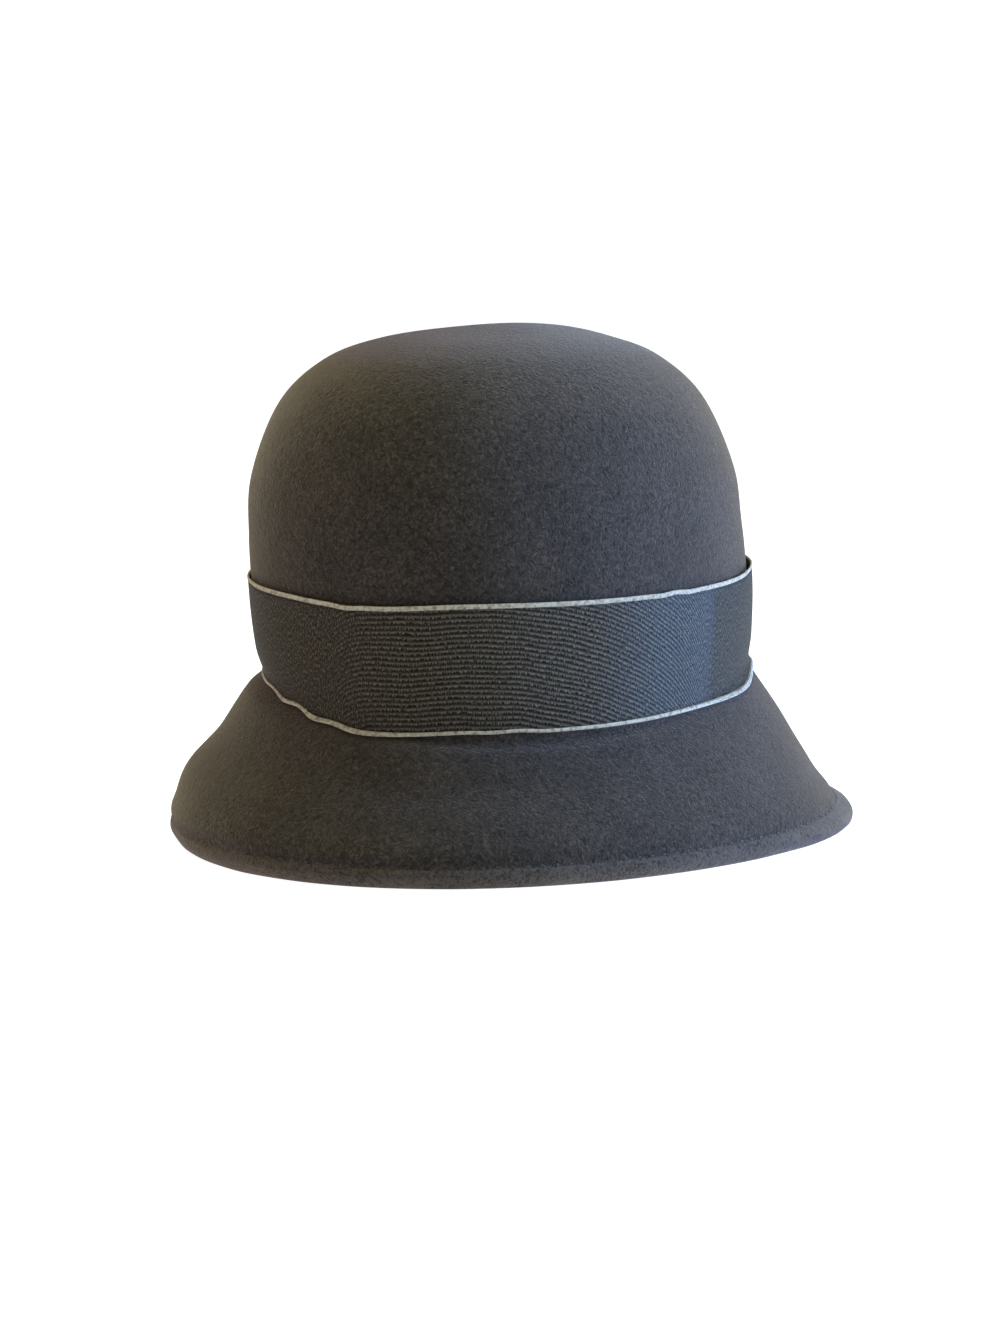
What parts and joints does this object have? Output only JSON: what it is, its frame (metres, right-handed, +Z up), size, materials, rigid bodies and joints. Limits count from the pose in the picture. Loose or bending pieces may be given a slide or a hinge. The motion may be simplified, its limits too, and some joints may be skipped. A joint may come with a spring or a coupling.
{
  "type": "cloche hat",
  "caption": "Bell-shaped felt cloche hat with a rounded crown, a short flared brim with a turned hem, and a ribbon band with pale corded edges.",
  "frame": {"origin": "centre of the hat's footprint, on the surface that its brim rests on", "axes": "+Z up through the crown, -Y towards the front of the hat, +X towards the wearer's left"},
  "size_m": [0.237, 0.2752, 0.185],
  "materials": {
    "felt": "dark grey wool felt with a short brushed nap",
    "ribbon": "dark grey ribbon, ribbed, with a soft satin sheen",
    "edge_cord": "pale grey corded selvedge"
  },
  "bodies": {
    "root": {"felt_body": "felt", "hat_band": "ribbon", "band_edge_upper": "edge_cord", "band_edge_lower": "edge_cord"}
  },
  "joints": []
}
